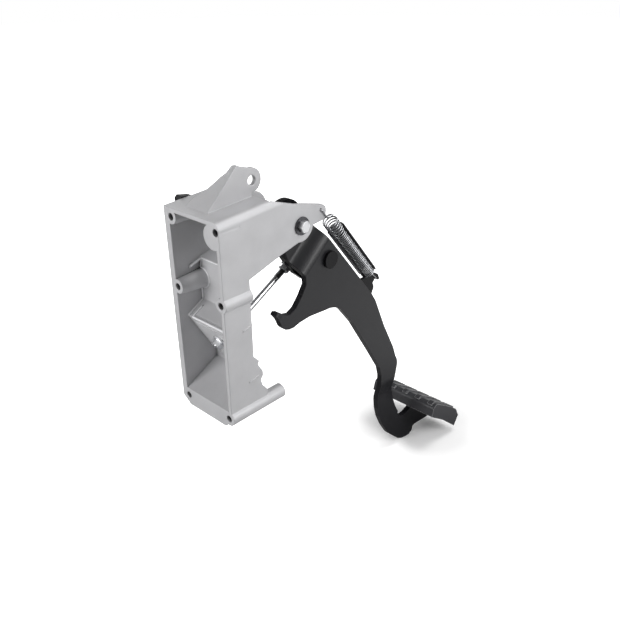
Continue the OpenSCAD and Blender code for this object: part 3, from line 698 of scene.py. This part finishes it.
def white_paper(height):
    """The floor's material: near the shadow's middle its white comes from the lamps alone, and where the
    shadow has faded out from the camera rays too. Gloss rays see it painted darker than it shows, most near
    the shadow's middle: a painted reflection of shade."""
    paper, tree = new_material("white_paper")
    place = add(tree, "ShaderNodeNewGeometry").outputs["Position"]
    away = add(tree, "ShaderNodeVectorMath", {0: place, 1: (SHADOW_X, SHADOW_Y, height * MM)},
               operation="DISTANCE")
    own = add(tree, "ShaderNodeMapRange", {"Value": away.outputs["Value"], "From Min": SHADOW_FULL,
                                           "From Max": SHADOW_GONE, "To Min": 0.0, "To Max": 1.0})
    mirrored = add(tree, "ShaderNodeMapRange", {"Value": own.outputs["Result"], "To Min": 0.2,
                                                "To Max": 0.82})
    # Towards the left the floor is painted darker still for gloss rays alone, a painted dark reflection with
    # nothing lying there; it fades out in x
    across = add(tree, "ShaderNodeSeparateXYZ", {"Vector": place})
    painted_left_shade = add(tree, "ShaderNodeMapRange", {"Value": across.outputs["X"], "From Min": 0.1, "From Max": 0.5,
                                            "To Min": 0.1, "To Max": 1.0})
    shade_darkened_reflection = add(tree, "ShaderNodeMath", {0: mirrored.outputs["Result"], 1: painted_left_shade.outputs["Result"]},
                 operation="MULTIPLY")
    path = add(tree, "ShaderNodeLightPath")
    tone = add(tree, "ShaderNodeMapRange", {"Value": path.outputs["Is Glossy Ray"], "To Min": 1.0,
                                            "To Max": shade_darkened_reflection.outputs[0]})
    matt = add(tree, "ShaderNodeBsdfDiffuse", {"Color": tone.outputs["Result"]})
    seen = add(tree, "ShaderNodeMath", {0: camera_ray(tree), 1: own.outputs["Result"]},
               operation="MULTIPLY")
    glow = add(tree, "ShaderNodeEmission", {"Color": (1, 1, 1, 1), "Strength": seen.outputs[0]})
    both = add(tree, "ShaderNodeAddShader", {0: matt.outputs[0], 1: glow.outputs[0]})
    add(tree, "ShaderNodeOutputMaterial", {"Surface": both.outputs[0]})
    return paper


def white_floor(height):
    """A round floor of one face, whose rim is a circle at a height in millimetres."""
    a = np.linspace(0, 2 * np.pi, FLOOR_SIDES, endpoint=False)
    rim = np.stack([FLOOR_MIDDLE_X + FLOOR_R * np.cos(a), FLOOR_R * np.sin(a),
                    np.full(FLOOR_SIDES, height)], -1)
    made = mesh_object("studio_floor", rim, [range(FLOOR_SIDES)], smooth=False)
    made.data.materials.append(white_paper(height))
    made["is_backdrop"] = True


class PEDAL_OT_stage(bpy.types.Operator):
    """Set up the floor, the lamps and the camera"""
    bl_idname = "pedal.stage"
    bl_label = "Studio and camera"

    def execute(self, context):
        context.scene.view_settings.view_transform = "Standard"
        white_world()
        white_floor(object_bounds()[0][2] / MM - FLOOR_GAP)
        for settings in LAMPS:
            lamp(*settings)
        photo_camera()
        return {"FINISHED"}


class PEDAL_PT_panel(bpy.types.Panel):
    """Pedal assembly tools"""
    bl_idname = "PEDAL_PT_panel"
    bl_label = "Pedal assembly"
    bl_space_type = "VIEW_3D"
    bl_region_type = "UI"
    bl_category = "Pedal"

    def draw(self, context):
        for group in (context.scene.pedal_sizes, context.scene.pedal_colours):
            box = self.layout.box()
            for name in group.__annotations__:
                box.prop(group, name)
        for operator in OPERATORS:
            self.layout.operator(operator.bl_idname)


OPERATORS = (PEDAL_OT_casting, PEDAL_OT_fillets, PEDAL_OT_fasteners, PEDAL_OT_threads, PEDAL_OT_pedal,
             PEDAL_OT_rod, PEDAL_OT_plastics, PEDAL_OT_spring, PEDAL_OT_stage)
CLASSES = (PedalSizes, PedalColours) + OPERATORS + (PEDAL_PT_panel,)


def register():
    """Registers the classes and hangs the properties on the scene."""
    for one in CLASSES:
        bpy.utils.register_class(one)
    bpy.types.Scene.pedal_sizes = bpy.props.PointerProperty(type=PedalSizes)
    bpy.types.Scene.pedal_colours = bpy.props.PointerProperty(type=PedalColours)


def unregister():
    """Takes the properties off the scene and the classes out again."""
    del bpy.types.Scene.pedal_sizes
    del bpy.types.Scene.pedal_colours
    for one in reversed(CLASSES):
        bpy.utils.unregister_class(one)


def main():
    """Registers the add-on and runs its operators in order."""
    register()
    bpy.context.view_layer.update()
    bpy.ops.pedal.casting()
    bpy.ops.pedal.fillets()
    bpy.ops.pedal.fasteners()
    bpy.ops.pedal.threads()
    bpy.ops.pedal.pedal()
    bpy.ops.pedal.rod()
    bpy.ops.pedal.plastics()
    bpy.ops.pedal.spring()
    bpy.ops.pedal.stage()


if __name__ == "__main__":
    main()
